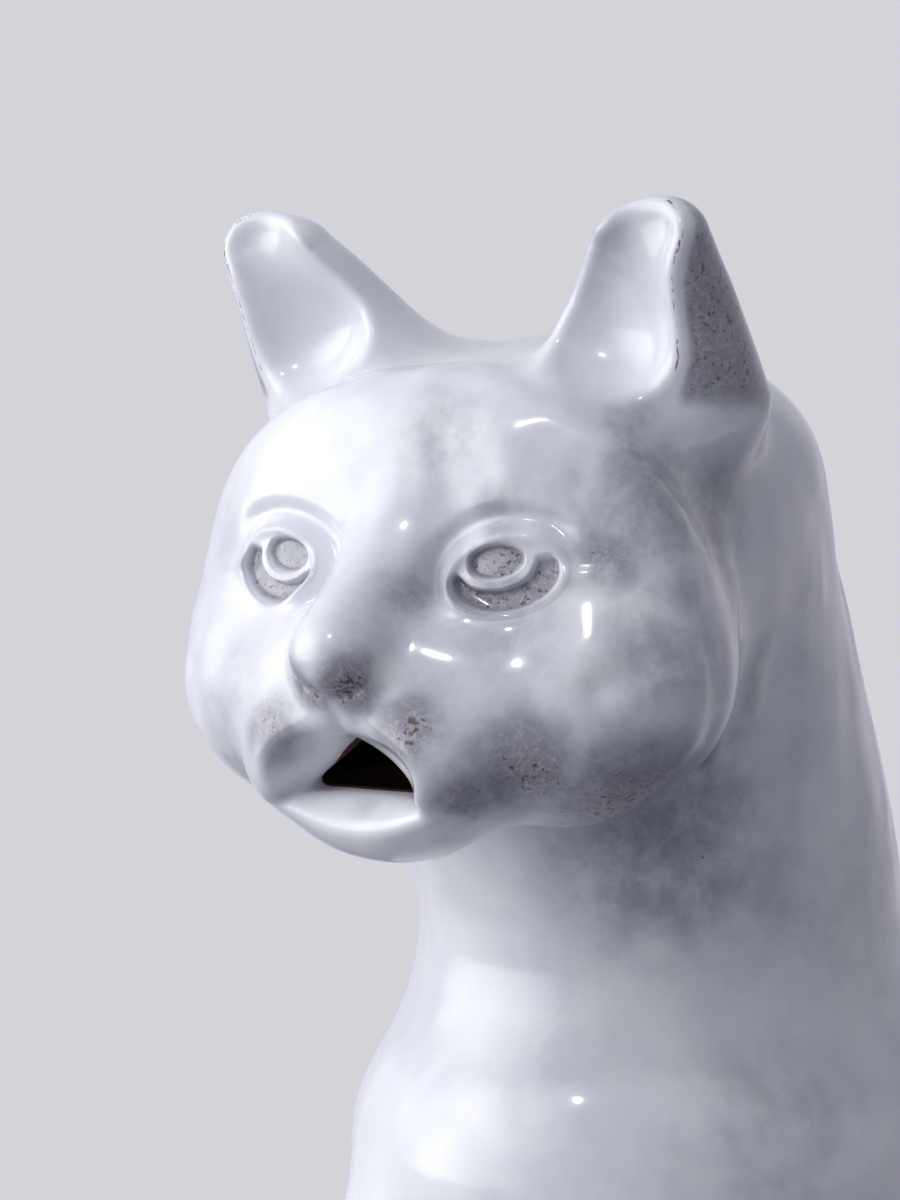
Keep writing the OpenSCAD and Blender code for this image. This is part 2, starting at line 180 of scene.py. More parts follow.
def limb(p, ends, eased=False):
    """Distance to a limb that tapers from end to end, evenly or with eased ends."""
    a, b = np.array(ends[0], float), np.array(ends[1], float)
    along = b - a
    x, y, z = (p[:, i] - a[i] for i in range(3))
    t = np.clip((x * along[0] + y * along[1] + z * along[2]) / (along @ along), 0, 1)
    away = sum((v - t * w) ** 2 for v, w in zip((x, y, z), along)) ** 0.5
    if eased:
        t = smooth(t)
    return away - (ends[2] + (ends[3] - ends[2]) * t)


def line(p, points):
    """Distance to a line through points."""
    legs = [limb(p, (a, b, 0, 0)) for a, b in zip(points[:-1], points[1:])]
    return np.minimum.reduce(legs)


def forms(p, rows, d, skirt=False):
    """Forms that run softly into each other, and into what d is the distance to."""
    for form in rows:
        d = soft_min(d, ellipsoid(p, form, skirt), form[2])
    return d


# Noise: points along a side of its lattice, and how far apart seeds lie in it.
LATTICE_N = 32
SEED_APART = 17.3
LATTICE = np.random.default_rng(7).uniform(-1, 1, (LATTICE_N,) * 3)


def noise(p, size, seed):
    """Smooth noise between -1 and 1 with bumps of about this size."""
    q = p / size + SEED_APART * seed
    cell = np.floor(q).astype(np.int64)
    f = q - cell
    fx, fy, fz = (f * f * f * (f * (f * 6 - 15) + 10)).T
    x, y, z = (cell % LATTICE_N).T
    x1, y1, z1 = ((cell + 1) % LATTICE_N).T
    rows = []
    for u in (y, y1):
        for w in (z, z1):
            a = LATTICE[x, u, w]
            rows.append(a + (LATTICE[x1, u, w] - a) * fx)
    low = rows[0] + (rows[1] - rows[0]) * fz
    high = rows[2] + (rows[3] - rows[2]) * fz
    return low + (high - low) * fy


def mirrored(p):
    """Points with the right side laid on the left."""
    return np.stack([np.abs(p[:, 0]), p[:, 1], p[:, 2]], 1)


def head_field(h):
    """Head without ears, for points from between the eyes."""
    d = forms(h, HEAD_FORMS, np.full(len(h), FAR))
    d = soft_min(d, limb(h, BRIDGE), SOFT_BRIDGE)
    return soft_min(d, limb(h, NECK), SOFT_NECK)


def body_field(b, skirt=False):
    """Body without paws, for points from the foot."""
    d = forms(b, BODY_FORMS, np.full(len(b), FAR), skirt)
    return soft_min(d, limb(b, FORELEG), SOFT_LEG)


def ear_field(h):
    """Left ear without its hollow."""
    return soft_min(limb(h, EAR_SIDE), limb(h, EAR_INNER), SOFT_EAR)


def ear_scoop(h):
    """Hollow in the front of the left ear."""
    return limb(h, EAR_SCOOP, True)


def joined(p, head_of, body_of):
    """Head and body together, each worked out only where it counts."""
    m = mirrored(p)
    head = np.full(len(p), FAR)
    body = np.full(len(p), FAR)
    high = p[:, 2] > SEAM_Z - REACH
    low = p[:, 2] < SEAM_Z + REACH
    head[high] = head_of(m[high] - EYES)
    body[low] = body_of(m[low] - FOOT)
    return soft_min(head, body, SOFT_SHOULDER)


def plain_cat(p):
    """The cat's forms without ears."""
    return joined(p, head_field, lambda b: forms(b, PAW_FORMS, body_field(b)))


def hollow(p):
    """The cat's hollow, open at the foot, with a passage to the mouth, and inside the body's skin."""
    core = joined(p, lambda h: soft_min(head_field(h), limb(h, PASSAGE), SOFT_NECK),
                  lambda b: body_field(b, True))
    low = p[:, 2] < SEAM_Z
    core[low] = np.maximum(core[low], plain_cat(p[low]) - np.maximum(p[low, 2] - SEAM_Z + REACH, 0))
    thicker = LIP_WALL * bell(norm(mirrored(p) - EYES - MOUTH_AT, axis=1), LIP_WALL_R)
    return core + WALL + thicker


# Eye: its middle, how far it is turned out and rolled, half sizes of the opening between the lids and of
# the pupil, the pupil's place in it, and how far the eye's piece reaches past the opening and inwards.
EYE_AT = np.array([23.9, -0.8, 0.1])
EYE_YAW = 19
EYE_ROLL = 8
EYE_OPEN = np.array([9.3, 5.7])
PUPIL = np.array([4.9, 2.7])
PUPIL_AT = np.array([-1.3, 2.4])
EYE_EDGE = 2.3
EYE_DEEP = 4.2
# Depth of the eye's two hollows, softness of the pupil's edge, width of the rim around it, and the
# crescent's upper limit, its slope, how it fades there, and the softness of its edge.
EYE_FLOOR = 1.1
PUPIL_EDGE = 1.1
PUPIL_RIM = 1.5
CRESCENT_TOP = 2.6
CRESCENT_SLOPE = 0.08
CRESCENT_FADE = 2.4
CRESCENT_EDGE = 1.3
# Height of the eyeball and its size over the opening.
BALL_HIGH = 1.0
BALL_SIZE = 1.25
# Lids and groove: height, what is added above the eye, place outside the opening and width. Then the
# lean of what counts as above, and how it fades.
AROUND_EYE = [(0.3, 0.6, 1.0, 1.6), (0, -1.2, 3.8, 1.9)]
UPPER_LEAN = 0.5
UPPER_FADE = 8.0
# The ridge beside the eye: height, width, a point on it, its slope and its two ends.
RIDGE_HIGH = 0.5
RIDGE_WIDTH = 1.6
RIDGE_AT = (10, -1.2)
RIDGE_SLOPE = -0.12
RIDGE_LIMITS = [(0, 8, 3), (0, 21, -8)]
# How much the eye is set upright on the sloping face, and how far around.
EYE_TILT = 0.25
EYE_TILT_R = 13.0
# Where the eye's relief ends behind and towards the nose, and the lowest place of the eye.
EYE_BACK = 14
EYE_LIMITS = [(1, EYE_BACK, -6), (0, 3, 5)]
EYE_LOW = -12


def eye_plane(h):
    """Places across the face of the left eye, outwards and up."""
    q = h - EYE_AT
    out, _ = rotated(q[:, 0], q[:, 1], EYE_YAW)
    return np.stack(rotated(out, q[:, 2], EYE_ROLL), 1)


def eye_floors(at):
    """The eye's two pressed hollows: the pupil, and the crescent between it and the lower lid."""
    lid = oval(at.T, EYE_OPEN)
    pupil = oval((at - PUPIL_AT).T, PUPIL)
    below = smooth((CRESCENT_TOP + CRESCENT_SLOPE * at[:, 0] - at[:, 1]) / CRESCENT_FADE)
    crescent = smooth(0.5 - lid / CRESCENT_EDGE) * smooth((pupil - PUPIL_RIM) / PUPIL_EDGE) * below
    return np.maximum(crescent, smooth(0.5 - pupil / PUPIL_EDGE))


def eye_relief(h):
    """The eyeball with its hollows, the lids, the groove above them and the ridge beside them."""
    at = eye_plane(h)
    lid = oval(at.T, EYE_OPEN)
    out, up = at.T
    upper = smooth(0.5 + (up - UPPER_LEAN * out) / UPPER_FADE)
    ball = BALL_HIGH * np.maximum(1 - norm(at / (EYE_OPEN * BALL_SIZE), axis=1) ** 2, 0)
    around = sum((high + more * upper) * bell(lid - far, width) for high, more, far, width in AROUND_EYE)
    level = RIDGE_AT[1] + RIDGE_SLOPE * (out - RIDGE_AT[0])
    ridge = RIDGE_HIGH * bell(up - level, RIDGE_WIDTH) * faded(at, RIDGE_LIMITS)
    tilt = EYE_TILT * up * bell(np.hypot(out, up), EYE_TILT_R)
    return ball + around + ridge + tilt - EYE_FLOOR * eye_floors(at)


# How far from the middle what is on one side alone comes to full strength.
SIDE_FADE = 12.0
# Lines of relief on the head: points, width, height, and the side (0 is both, 1 left, -1 right).
FACE_LINES = [
    (((12, -7, 10), (24, -3, 12), (35, 4, 10)), 4.0, 0.5, 0),
    (((41.5, 1, -17.7), (46, 7, -15), (48, 17, -12), (47, 23, -15)), 3.0, -0.9, 0),
    (((40, 4, -25), (45, 12, -22), (46, 22, -21)), 6.0, 0.5, 0),
    (((0, -19, -20), (0, -13, -26)), 1.4, -1.1, 0),
    (((8, -12, -13.5), (5, -16, -18), (0.5, -18, -20.5)), 1.5, -1.1, 0),
    (((22, 3, 27), (20, -4, 16)), 3.2, -1.1, -1),
    (((18, 1, 27), (24, 1, 18)), 6.0, 0.6, 1),
    (((9, 2, 30), (12, -3, 20), (13, -2, 12)), 7.0, -0.8, 1),
    (((28, 3, 20), (34, 6, 18)), 5.0, -0.8, 1),
]
# Unevenness of the clay: size, height, seed.
WOBBLE = [(17.0, 0.4, 1), (6.5, 0.12, 2)]
# Streaks on the side of the neck: their size and height, and the soft limits of that side.
STREAK_SIZE = np.array([6.0, 6.0, 40.0])
STREAK_HEIGHT = 0.4
NECK_SIDE = [(1, 15, 20), (0, 22, 10), (2, 16, -20), (2, -75, 30)]
# Limits of the face and of the paws.
FACE_LOW = -50
FACE_BACK = 35
PAW_TOP = 40

# Lines between the toes: of fore and hind paw the middle line's lower and upper end and the way to the
# next line, then their width and height, how far the outer ones lie back, and how they close up above.
TOES = [((20, -82, 4), (20, -69, 19), 7.5), ((52, -54, 4), (50, -41, 20), 7)]
TOE_WIDTH = 1.5
TOE_HIGH = -1.7
TOE_BACK = 0.35
TOE_CLOSE = 0.8
TOE_LINES = [
    (((x + dx, y + TOE_BACK * abs(dx), z), (u + TOE_CLOSE * dx, v, w)), TOE_WIDTH, TOE_HIGH, 0)
    for (x, y, z), (u, v, w), apart in TOES for dx in (-apart, 0, apart)
]


def lines_relief(m, x, rows):
    """Height of lines of relief, for mirrored points that lie at x."""
    total = np.zeros(len(m))
    for points, width, height, on in rows:
        where = smooth(on * x / SIDE_FADE) if on else 1.0
        total += where * height * bell(line(m, points), width)
    return total


def streaks(p):
    """Noise that is drawn out upwards."""
    return noise(p / STREAK_SIZE, 1.0, 3)


def relief(p):
    """Height of everything that was pressed and drawn into the clay's skin."""
    x = p[:, 0]
    total = sum(height * noise(p, size, seed) for size, height, seed in WOBBLE)
    m = mirrored(p)
    h = m - EYES
    total += STREAK_HEIGHT * faded(h, NECK_SIDE) * streaks(p)
    face = (h[:, 2] > FACE_LOW) & (h[:, 1] < FACE_BACK)
    total[face] += eye_relief(h[face]) * faded(h[face], EYE_LIMITS)
    total[face] += lines_relief(h[face], x[face], FACE_LINES)
    low = p[:, 2] < FOOT_Z + PAW_TOP
    total[low] += lines_relief(m[low] - FOOT, x[low], TOE_LINES)
    return total


# Mouth: how far it is tipped, its outline as a triangle with rounded corners, and
# the bowl between the lips: half sizes across, up and out, and the place of its middle.
MOUTH_TIP = math.radians(30)
MOUTH_OUT = np.array([0, -math.cos(MOUTH_TIP), -math.sin(MOUTH_TIP)])
MOUTH_UP = np.array([0, -math.sin(MOUTH_TIP), math.cos(MOUTH_TIP)])
MOUTH_PEAK = 5.0
MOUTH_FLOOR = -5.8
MOUTH_SIDE = math.radians(51)
MOUTH_ROUND = 2.4
MOUTH_LEVEL = 0.3
MOUTH_DEEP = 18.0
LIP_BOWL = np.array([14.5, 8.0, 7.0])
LIP_BOWL_AT = np.array([0, 1.2, 5.5])
LIP_ROUND = 3.6


def mouth_hole(h):
    """The mouth's opening, and the places of points across it, up it and out of it."""
    q = h - MOUTH_AT
    up = q @ MOUTH_UP
    out = q @ MOUTH_OUT
    level = up - MOUTH_LEVEL * out
    side = np.abs(q[:, 0]) * math.cos(MOUTH_SIDE) + (level - MOUTH_PEAK) * math.sin(MOUTH_SIDE)
    hole = soft_max(side, MOUTH_FLOOR - level, MOUTH_ROUND)
    return np.maximum(hole, -out - MOUTH_DEEP), np.stack([q[:, 0], up, out])


def mouth(h):
    """The opening of the mouth, with the bowl between the lips."""
    hole, at = mouth_hole(h)
    bowl = oval(at - LIP_BOWL_AT[:, None], LIP_BOWL)
    return soft_min(hole, bowl, LIP_ROUND)


# How near to the skin relief counts, the lowest place of the ears, and how far back the mouth reaches.
NEAR = 4.5
EAR_LOW = 10
MOUTH_BACK = 25


def skin(p):
    """Outside of the cat with ears, relief and mouth."""
    d = plain_cat(p)
    high = p[:, 2] > EYES[2] + EAR_LOW
    h = mirrored(p[high]) - EYES
    ear = soft_max(ear_field(h), -ear_scoop(h), SOFT_EAR_RIM)
    d[high] = soft_min(d[high], ear, SOFT_EAR_ROOT)
    near = np.abs(d) < NEAR
    d[near] -= relief(p[near])
    front = (p[:, 2] > SEAM_Z) & (p[:, 1] < EYES[1] + MOUTH_BACK)
    d[front] = soft_max(d[front], -mouth(mirrored(p[front]) - EYES), LIP_ROUND)
    return soft_max(d, FOOT_Z - p[:, 2], SOFT_FOOT)


def clay(p):
    """The cat's clay: its skin without its hollow."""
    return soft_max(skin(p), -hollow(p), SOFT_HOLLOW)


# Grid steps in a block, how many block sizes from its middle the surface is still looked for, and how
# many points are worked out at a time.
BLOCK = 8
BLOCK_REACH = 1.7
CHUNK = 300000


def sampled(field, low, high, step):
    """Values of a field on a grid, worked out only in the blocks that its surface may pass through."""
    blocks = np.ceil((high - low) / (step * BLOCK)).astype(int)
    middles = [low[i] + step * BLOCK * (np.arange(blocks[i]) + 0.5) for i in range(3)]
    centres = np.stack(np.meshgrid(*middles, indexing="ij"), -1).reshape(-1, 3)
    rough = field(centres).reshape(blocks)
    values = np.kron(np.sign(rough), np.full((BLOCK,) * 3, FAR))
    values = np.pad(values, ((0, 1),) * 3, mode="edge")
    near = np.argwhere(np.abs(rough) < BLOCK_REACH * step * BLOCK)
    inside = np.stack(np.meshgrid(*[np.arange(BLOCK + 1)] * 3, indexing="ij"), -1).reshape(-1, 3)
    share = CHUNK // len(inside)
    for i in range(0, len(near), share):
        at = (near[i:i + share, None, :] * BLOCK + inside).reshape(-1, 3)
        values[at[:, 0], at[:, 1], at[:, 2]] = field(low + step * at)
    return values


def surface(values, low, step):
    """Points and quads of the zero surface of a grid of values."""
    solid = (values < 0).astype(np.int8)
    corners = list(np.ndindex(2, 2, 2))
    ends = [slice(None, -1), slice(1, None)]
    count = sum(solid[tuple(ends[i] for i in corner)] for corner in corners)
    active = (count > 0) & (count < 8)
    cells = np.argwhere(active)
    number = np.full(active.shape, -1)
    number[active] = np.arange(len(cells))
    value = {corner: values[tuple((cells + corner).T)] for corner in corners}
    total = np.zeros((len(cells), 3))
    hits = np.zeros(len(cells))
    for a in corners:
        for axis in range(3):
            if a[axis]:
                continue
            b = tuple(a[i] + (i == axis) for i in range(3))
            cross = (value[a] < 0) != (value[b] < 0)
            t = np.where(cross, value[a] / np.where(cross, value[a] - value[b], 1), 0)
            place = np.array(a, float) + t[:, None] * np.eye(3)[axis]
            total += place * cross[:, None]
            hits += cross
    points = low + step * (cells + total / hits[:, None])
    quads = []
    for axis in range(3):
        u, v = (axis + 1) % 3, (axis + 2) % 3
        step_u, step_v = np.eye(3, dtype=int)[[u, v]]
        change = np.diff(solid, axis=axis)
        for flip in (1, -1):
            edge = np.argwhere(change == -flip)
            edge = edge[(edge[:, [u, v]] > 0).all(1) & (edge < np.array(values.shape) - 1).all(1)]
            around = [edge, edge - step_u, edge - step_u - step_v, edge - step_v]
            quads.append(np.stack([number[tuple(c.T)] for c in around], 1)[:, ::flip])
    return points, np.concatenate(quads)


def unit(v):
    """Vectors brought to length 1."""
    return v / np.maximum(norm(v, axis=1, keepdims=True), 1e-9)


def face_vectors(points, faces):
    """Vectors out of triangles, twice as long as their areas."""
    a, b, c = (points[faces[:, i]] for i in range(3))
    return np.cross(b - a, c - a)


QUAD_HALVES = (((0, 1, 2), (0, 2, 3)), ((1, 2, 3), (1, 3, 0)))


def triangles(points, quads):
    """Two triangles for each quad, from the diagonal that keeps the smaller of them larger."""
    smaller = []
    for pair in QUAD_HALVES:
        areas = [norm(face_vectors(points, quads[:, part]), axis=1) for part in pair]
        smaller.append(np.minimum(*areas))
    first = smaller[0] >= smaller[1]
    return np.concatenate([quads[pick][:, part] for pick, pair in zip((first, ~first), QUAD_HALVES)
                           for part in pair])


# Distance over which slopes are taken, and the least square of a slope that is divided by.
NUDGE = 0.12
LEAST_STEEP = 0.1


def slope(field, p):
    """Gradient of a field."""
    return np.stack([field(p + NUDGE * e) - field(p - NUDGE * e) for e in np.eye(3)], 1) / (2 * NUDGE)


def settled(field, p, rounds=2, most=0.5):
    """Points moved onto the field's surface."""
    for _ in range(rounds):
        d = field(p)
        g = np.stack([field(p + NUDGE * e) - d for e in np.eye(3)], 1) / NUDGE
        move = -(d / np.maximum((g * g).sum(1), LEAST_STEEP))[:, None] * g
        length = norm(move, axis=1, keepdims=True)
        p = p + move * np.minimum(1, most / np.maximum(length, 1e-9))
    return p


def compact(points, faces):
    """Points that faces use, and the faces on them."""
    used, index = np.unique(faces, return_inverse=True)
    return points[used], index.reshape(-1, 3)


def edges_of(faces):
    """First, second and third edges of triangles."""
    return np.concatenate([faces[:, [i, (i + 1) % 3]] for i in range(3)])


def split(points, faces, value):
    """Cut triangles along the zero line of a value at each point.

    Returns all points with those of the cut added, and the triangles below and above zero.
    """
    sign = np.sign(value).astype(int)[faces]
    low, high = sign.min(1), sign.max(1)
    whole = (faces[high <= 0], faces[(low >= 0) & (high > 0)])
    mixed = faces[(low < 0) & (high > 0)]
    pairs = np.sort(edges_of(mixed), 1)
    pairs = np.unique(pairs[value[pairs[:, 0]] * value[pairs[:, 1]] < 0], axis=0)
    a, b = pairs.T
    t = value[a] / (value[a] - value[b])
    made = points[a] + t[:, None] * (points[b] - points[a])
    names = {(i, j): len(points) + n for n, (i, j) in enumerate(pairs.tolist())}
    cut = ([], [])
    for face in mixed.tolist():
        parts = ([], [])
        for i, j in zip(face, face[1:] + face[:1]):
            if value[i] <= 0:
                parts[0].append(i)
            if value[i] >= 0:
                parts[1].append(i)
            if value[i] * value[j] < 0:
                crossing = names[min(i, j), max(i, j)]
                parts[0].append(crossing)
                parts[1].append(crossing)
        for part, kept in zip(parts, cut):
            kept.extend([part[0], part[k], part[k + 1]] for k in range(1, len(part) - 1))
    below, above = (np.concatenate([a, np.array(b, int).reshape(-1, 3)]) for a, b in zip(whole, cut))
    return np.concatenate([points, made]), below, above


def border(faces):
    """Directed edges that only one face uses."""
    edges = edges_of(faces)
    _, index, count = np.unique(np.sort(edges, 1), axis=0, return_inverse=True, return_counts=True)
    return edges[count[index.ravel()] == 1]


# How near to a plane points lie in it, and within what share of a grid step a cut goes through a point.
FLAT = 1e-6
CLOSE = 0.2


def in_plane(points, rows, axis, level):
    """Which edges or faces lie in a plane."""
    return (np.abs(points[rows][:, :, axis] - level) < FLAT).all(1)


def flat_cap(points, faces, axis, level, facing):
    """Triangles that close a plane cut."""
    edges = border(faces)
    edges = edges[in_plane(points, edges, axis, level)]
    names = np.unique(edges)
    made = bmesh.new()
    verts = [made.verts.new(points[i]) for i in names]
    for a, b in np.searchsorted(names, edges).tolist():
        made.edges.new((verts[a], verts[b]))
    made.verts.index_update()
    normal = Vector(np.eye(3)[axis] * facing)
    bmesh.ops.triangle_fill(made, use_beauty=True, edges=made.edges[:], normal=normal)
    caps = []
    for face in made.faces:
        face.normal_update()
        ring = [names[v.index] for v in face.verts]
        caps.append(ring if face.normal.dot(normal) > 0 else ring[::-1])
    made.free()
    return np.array(caps, int).reshape(-1, 3)


def plane_cut(points, faces, axis, level, grid):
    """Cut at a plane. Points close to it are moved onto it first, so that no slivers are left."""
    points = points.copy()
    close = np.abs(points[:, axis] - level) < CLOSE * grid
    points[close, axis] = level
    return split(points, faces, points[:, axis] - level)


def halved(points, faces):
    """Each triangle in four, and which points are new and not on an open edge."""
    edges = np.sort(edges_of(faces), 1)
    key, index, count = np.unique(edges, axis=0, return_inverse=True, return_counts=True)
    middle = len(points) + index.reshape(3, -1).T
    made = points[key].mean(1)
    a, b, c = faces.T
    ab, bc, ca = middle.T
    four = np.concatenate([np.stack(t, 1) for t in
                           ((a, ab, ca), (b, bc, ab), (c, ca, bc), (ab, bc, ca))])
    free = np.concatenate([np.zeros(len(points), bool), count == 2])
    return np.concatenate([points, made]), four, free


NO_CAPS = np.zeros((0, 3), int)


def in_scene(name, data):
    """New object in the scene."""
    made = bpy.data.objects.new(name, data)
    bpy.context.scene.collection.objects.link(made)
    return made


def make_piece(name, node, body, points, faces, caps, normals, marks, material):
    """Piece from triangles in a node's place, with smooth normals on faces and flat ones on caps."""
    mesh = bpy.data.meshes.new(name)
    everything = np.concatenate([faces, caps])
    mesh.from_pydata((points * MM).tolist(), [], everything.tolist())
    flat = np.repeat(unit(face_vectors(points, caps)), 3, axis=0)
    corner = np.concatenate([normals[faces].reshape(-1, 3), flat])
    mesh.polygons.foreach_set("use_smooth", np.ones(len(everything), bool))
    mesh.normals_split_custom_set(corner.tolist())
    for mark, value in marks.items():
        layer = mesh.attributes.new(mark, "FLOAT", "POINT")
        layer.data.foreach_set("value", np.ascontiguousarray(value, np.float32))
    mesh.materials.append(material)
    piece = in_scene(name, mesh)
    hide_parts(node)
    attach(piece, body)


# Places from between the eyes where the glaze is thin and mottled, and places of painted shade as grey
# glaze: middle, radius, strength on the left side, and the share of it on the right side. The right side
# faces the lamps and keeps a smaller share, so it is painted lighter.
THIN_GLAZE_AND_SHADE_PLACES = [
    ((4, -17, -17), 6, 1.0, 0.8),
    ((14, -12, -25), 6, 0.95, 0.8),
    ((19, -6, -34), 7, 0.9, 0.5),
    ((30, 0, -30), 12, 0.85, 0.4),
    # Painted shade under the jaw and down the neck, over some dark glaze: this place and the next.
    ((37, 12, -33), 16, 1.0, 0.4),
    ((28, 42, -46), 25, 0.6, 0.4),
    ((22, -3, 11), 6, 0.75, 0.4),
    # Painted shade on the shaded side of the nose bridge.
    ((8, -7, -4), 8, 0.4, 0.2),
    # Painted shade on the forehead's shaded side.
    ((8, 0, 24), 13, 0.42, 0.4),
    # Painted shade on the shaded cheek, temple and side of the face: this place and the next two.
    ((30, 2, -12), 17, 0.3, 0.4),
    ((42, 14, 12), 17, 0.6, 0.4),
    ((45, 12, -13), 14, 0.6, 0.4),
    ((39, 7, 3), 8, 0.7, 0.4),
    ((45, 14, -4), 7, 0.75, 0.4),
    ((40, 14, 26), 7, 0.75, 0.4),
    ((46, 28, 10), 12, 0.65, 0.4),
    ((0, -8, -38), 4, 0.5, 0.4),
    ((50, 50, -95), 26, 0.35, 0.4),
    ((30, 40, -110), 22, 0.2, 0.4),
]
# Painted shade: grey glaze over the whole left side, which is turned from the lamps. How thin the glaze
# is
# elsewhere: in the eyes' hollows, in the streaks, in patches with their size and the noise they start
# from, and on edges with the width, the curvature they start from and its range.
LEFT_SIDE_PAINTED_SHADE = 0.16
EYE_THIN = 0.75
STREAK_THIN = 0.42
PATCH_THIN = 0.3
PATCH_SIZE = 40
PATCH_FROM = 0.3
EDGE_THIN = 0.35
EDGE_SIZE = 1.2
EDGE_FROM = 0.4
EDGE_RANGE = 0.5
# The same on the ears' outer side and in their hollow, with soft limits, and the seam along the edge.
EAR_BAND = 0.8
BAND_FROM = 2
BAND_FADE = 3
BAND_LIMITS = [(0, 40, 5), (2, 24, 8)]
SCOOP_THIN = 0.12
SCOOP_FADE = 1.5
SCOOP_LIMITS = [(2, 32, 8)]
SEAM_AT = 1.5
SEAM_WIDTH = 0.6
SEAM_LIMITS = [(0, 41, 3), (2, 26, 4)]
# Where the glaze ends: how deep inside the skin, how wide of the mouth's opening and how deep in it, and
# how high above the foot.
GLAZE_DEEP = 1.0
GLAZE_FADE = 1.0
MOUTH_WIDE = 1.5
MOUTH_IN = 2.2
MOUTH_FADE = 1.5
FOOT_BARE = 1.2


def clay_marks(p, inner):
    """Bare clay, thin glaze with painted shade in the same mark, and the open seam along the ears' outer
    edge.
    """
    m = mirrored(p)
    h = m - EYES
    hole, (_, _, out) = mouth_hole(h)
    bare = smooth((-skin(p) - GLAZE_DEEP) / GLAZE_FADE)
    bare = np.maximum(bare, (hole < MOUTH_WIDE) * smooth((-MOUTH_IN - out) / MOUTH_FADE))
    bare = np.maximum(bare, smooth((FOOT_Z + FOOT_BARE - p[:, 2]) / GLAZE_FADE))
    left = smooth(0.5 + p[:, 0] / SIDE_FADE)
    # Painted shade: grey glaze over the whole left side, which is turned away from the lamps.
    thin_glaze_and_shade = LEFT_SIDE_PAINTED_SHADE * left
    # Places of thin glaze and of painted shade; the lit right side keeps a smaller share.
    for middle, radius, strength, right in THIN_GLAZE_AND_SHADE_PLACES:
        place = strength * bell(norm(h - middle, axis=1), radius)
        thin_glaze_and_shade = np.maximum(thin_glaze_and_shade, place * (right + (1 - right) * left))
    face = (h[:, 1] < EYE_BACK) & (h[:, 2] > EYE_LOW)
    thin_glaze_and_shade[face] = np.maximum(thin_glaze_and_shade[face], EYE_THIN * eye_floors(eye_plane(h[face])))
    around = sum(skin(p + s * EDGE_SIZE * e) for e in np.eye(3) for s in (-1, 1))
    curved = (around - 6 * skin(p)) / EDGE_SIZE ** 2
    thin_glaze_and_shade = np.maximum(thin_glaze_and_shade, EDGE_THIN * smooth((curved - EDGE_FROM) / EDGE_RANGE))
    thin_glaze_and_shade = np.maximum(thin_glaze_and_shade, STREAK_THIN * faded(h, NECK_SIDE) * (0.5 + streaks(p)))
    thin_glaze_and_shade += PATCH_THIN * np.maximum(noise(p, PATCH_SIZE, 5) - PATCH_FROM, 0)
    scoop = ear_scoop(h)
    band = smooth((scoop - BAND_FROM) / BAND_FADE) * faded(h, BAND_LIMITS)
    thin_glaze_and_shade = np.maximum(thin_glaze_and_shade, EAR_BAND * band)
    thin_glaze_and_shade = np.maximum(thin_glaze_and_shade, SCOOP_THIN * bell(scoop, SCOOP_FADE) * faded(h, SCOOP_LIMITS))
    seam = bell(scoop - SEAM_AT, SEAM_WIDTH) * faded(h, SEAM_LIMITS) * ~inner
    return {"bare": bare, "thin_glaze_and_shade": np.clip(thin_glaze_and_shade, 0, 1), "seam": seam}


def clay_piece(what, side, points, faces, caps, material):
    """Piece on one side of the cat."""
    count = len(faces)
    points, everything = compact(points, np.concatenate([faces, caps]))
    inner = np.abs(hollow(points)) < np.abs(skin(points))
    make_piece(f"{what}_clay_{side}", f"{what}_{side}", "cat", points, everything[:count],
               everything[count:], unit(slope(clay, points)), clay_marks(points, inner), material)


# Room around a left node's box in which the clay of both sides is meshed.
MARGIN = 4.0


def halves(low, high, step, above):
    """Left and right half of the clay above or below the seam, with what closes each half."""
    low = np.array([-high[0], low[1], low[2]]) - MARGIN
    points, quads = surface(sampled(clay, low, high + MARGIN, step), low, step)
    points = settled(clay, points)
    points, *parts = plane_cut(points, triangles(points, quads), 2, SEAM_Z, step)
    faces = parts[above]
    seam = flat_cap(points, faces, 2, SEAM_Z, -1 if above else 1)
    points, right, left = plane_cut(points, np.concatenate([faces, seam]), 0, 0.0, step)
    for side, part, facing in (("left", left, -1), ("right", right, 1)):
        flat = in_plane(points, part, 2, SEAM_Z)
        middle = flat_cap(points, part, 0, 0.0, facing)
        yield side, points, part[~flat], np.concatenate([part[flat], middle])


def torso_pieces(material):
    """Both halves of the torso."""
    low, high = box_mm("torso_left")
    high[2] = SEAM_Z
    for side, at, part, caps in halves(low, high, BODY_STEP, False):
        clay_piece("torso", side, at, part, caps, material)


def closed(points, faces, caps, middle, inwards):
    """Close an open edge towards a middle, with a wall first where the cut goes inwards."""
    if inwards is not None:
        edges = border(np.concatenate([faces, caps]))
        names, index = np.unique(edges, return_inverse=True)
        a, b = edges.T
        deep_a, deep_b = (len(points) + index.reshape(-1, 2)).T
        caps = np.concatenate([caps, np.stack([b, a, deep_a], 1), np.stack([b, deep_a, deep_b], 1)])
        points = np.concatenate([points, points[names] + inwards])
        middle = middle + inwards
    a, b = border(np.concatenate([faces, caps])).T
    fan = np.stack([b, a, np.full(len(a), len(points))], 1)
    return np.concatenate([points, middle[None]]), np.concatenate([caps, fan])


def ear_cut(h):
    """Value that is below zero in the ear's piece of clay."""
    return np.where(h[:, 2] < EAR_LOW, HEAD_STEP, ear_field(h) - head_field(h))


def eye_cut(h):
    """Value that is below zero in the eye's piece of clay."""
    edge = oval(eye_plane(h).T, EYE_OPEN) - EYE_EDGE
    return np.where(h[:, 1] > EYE_BACK, HEAD_STEP, edge)


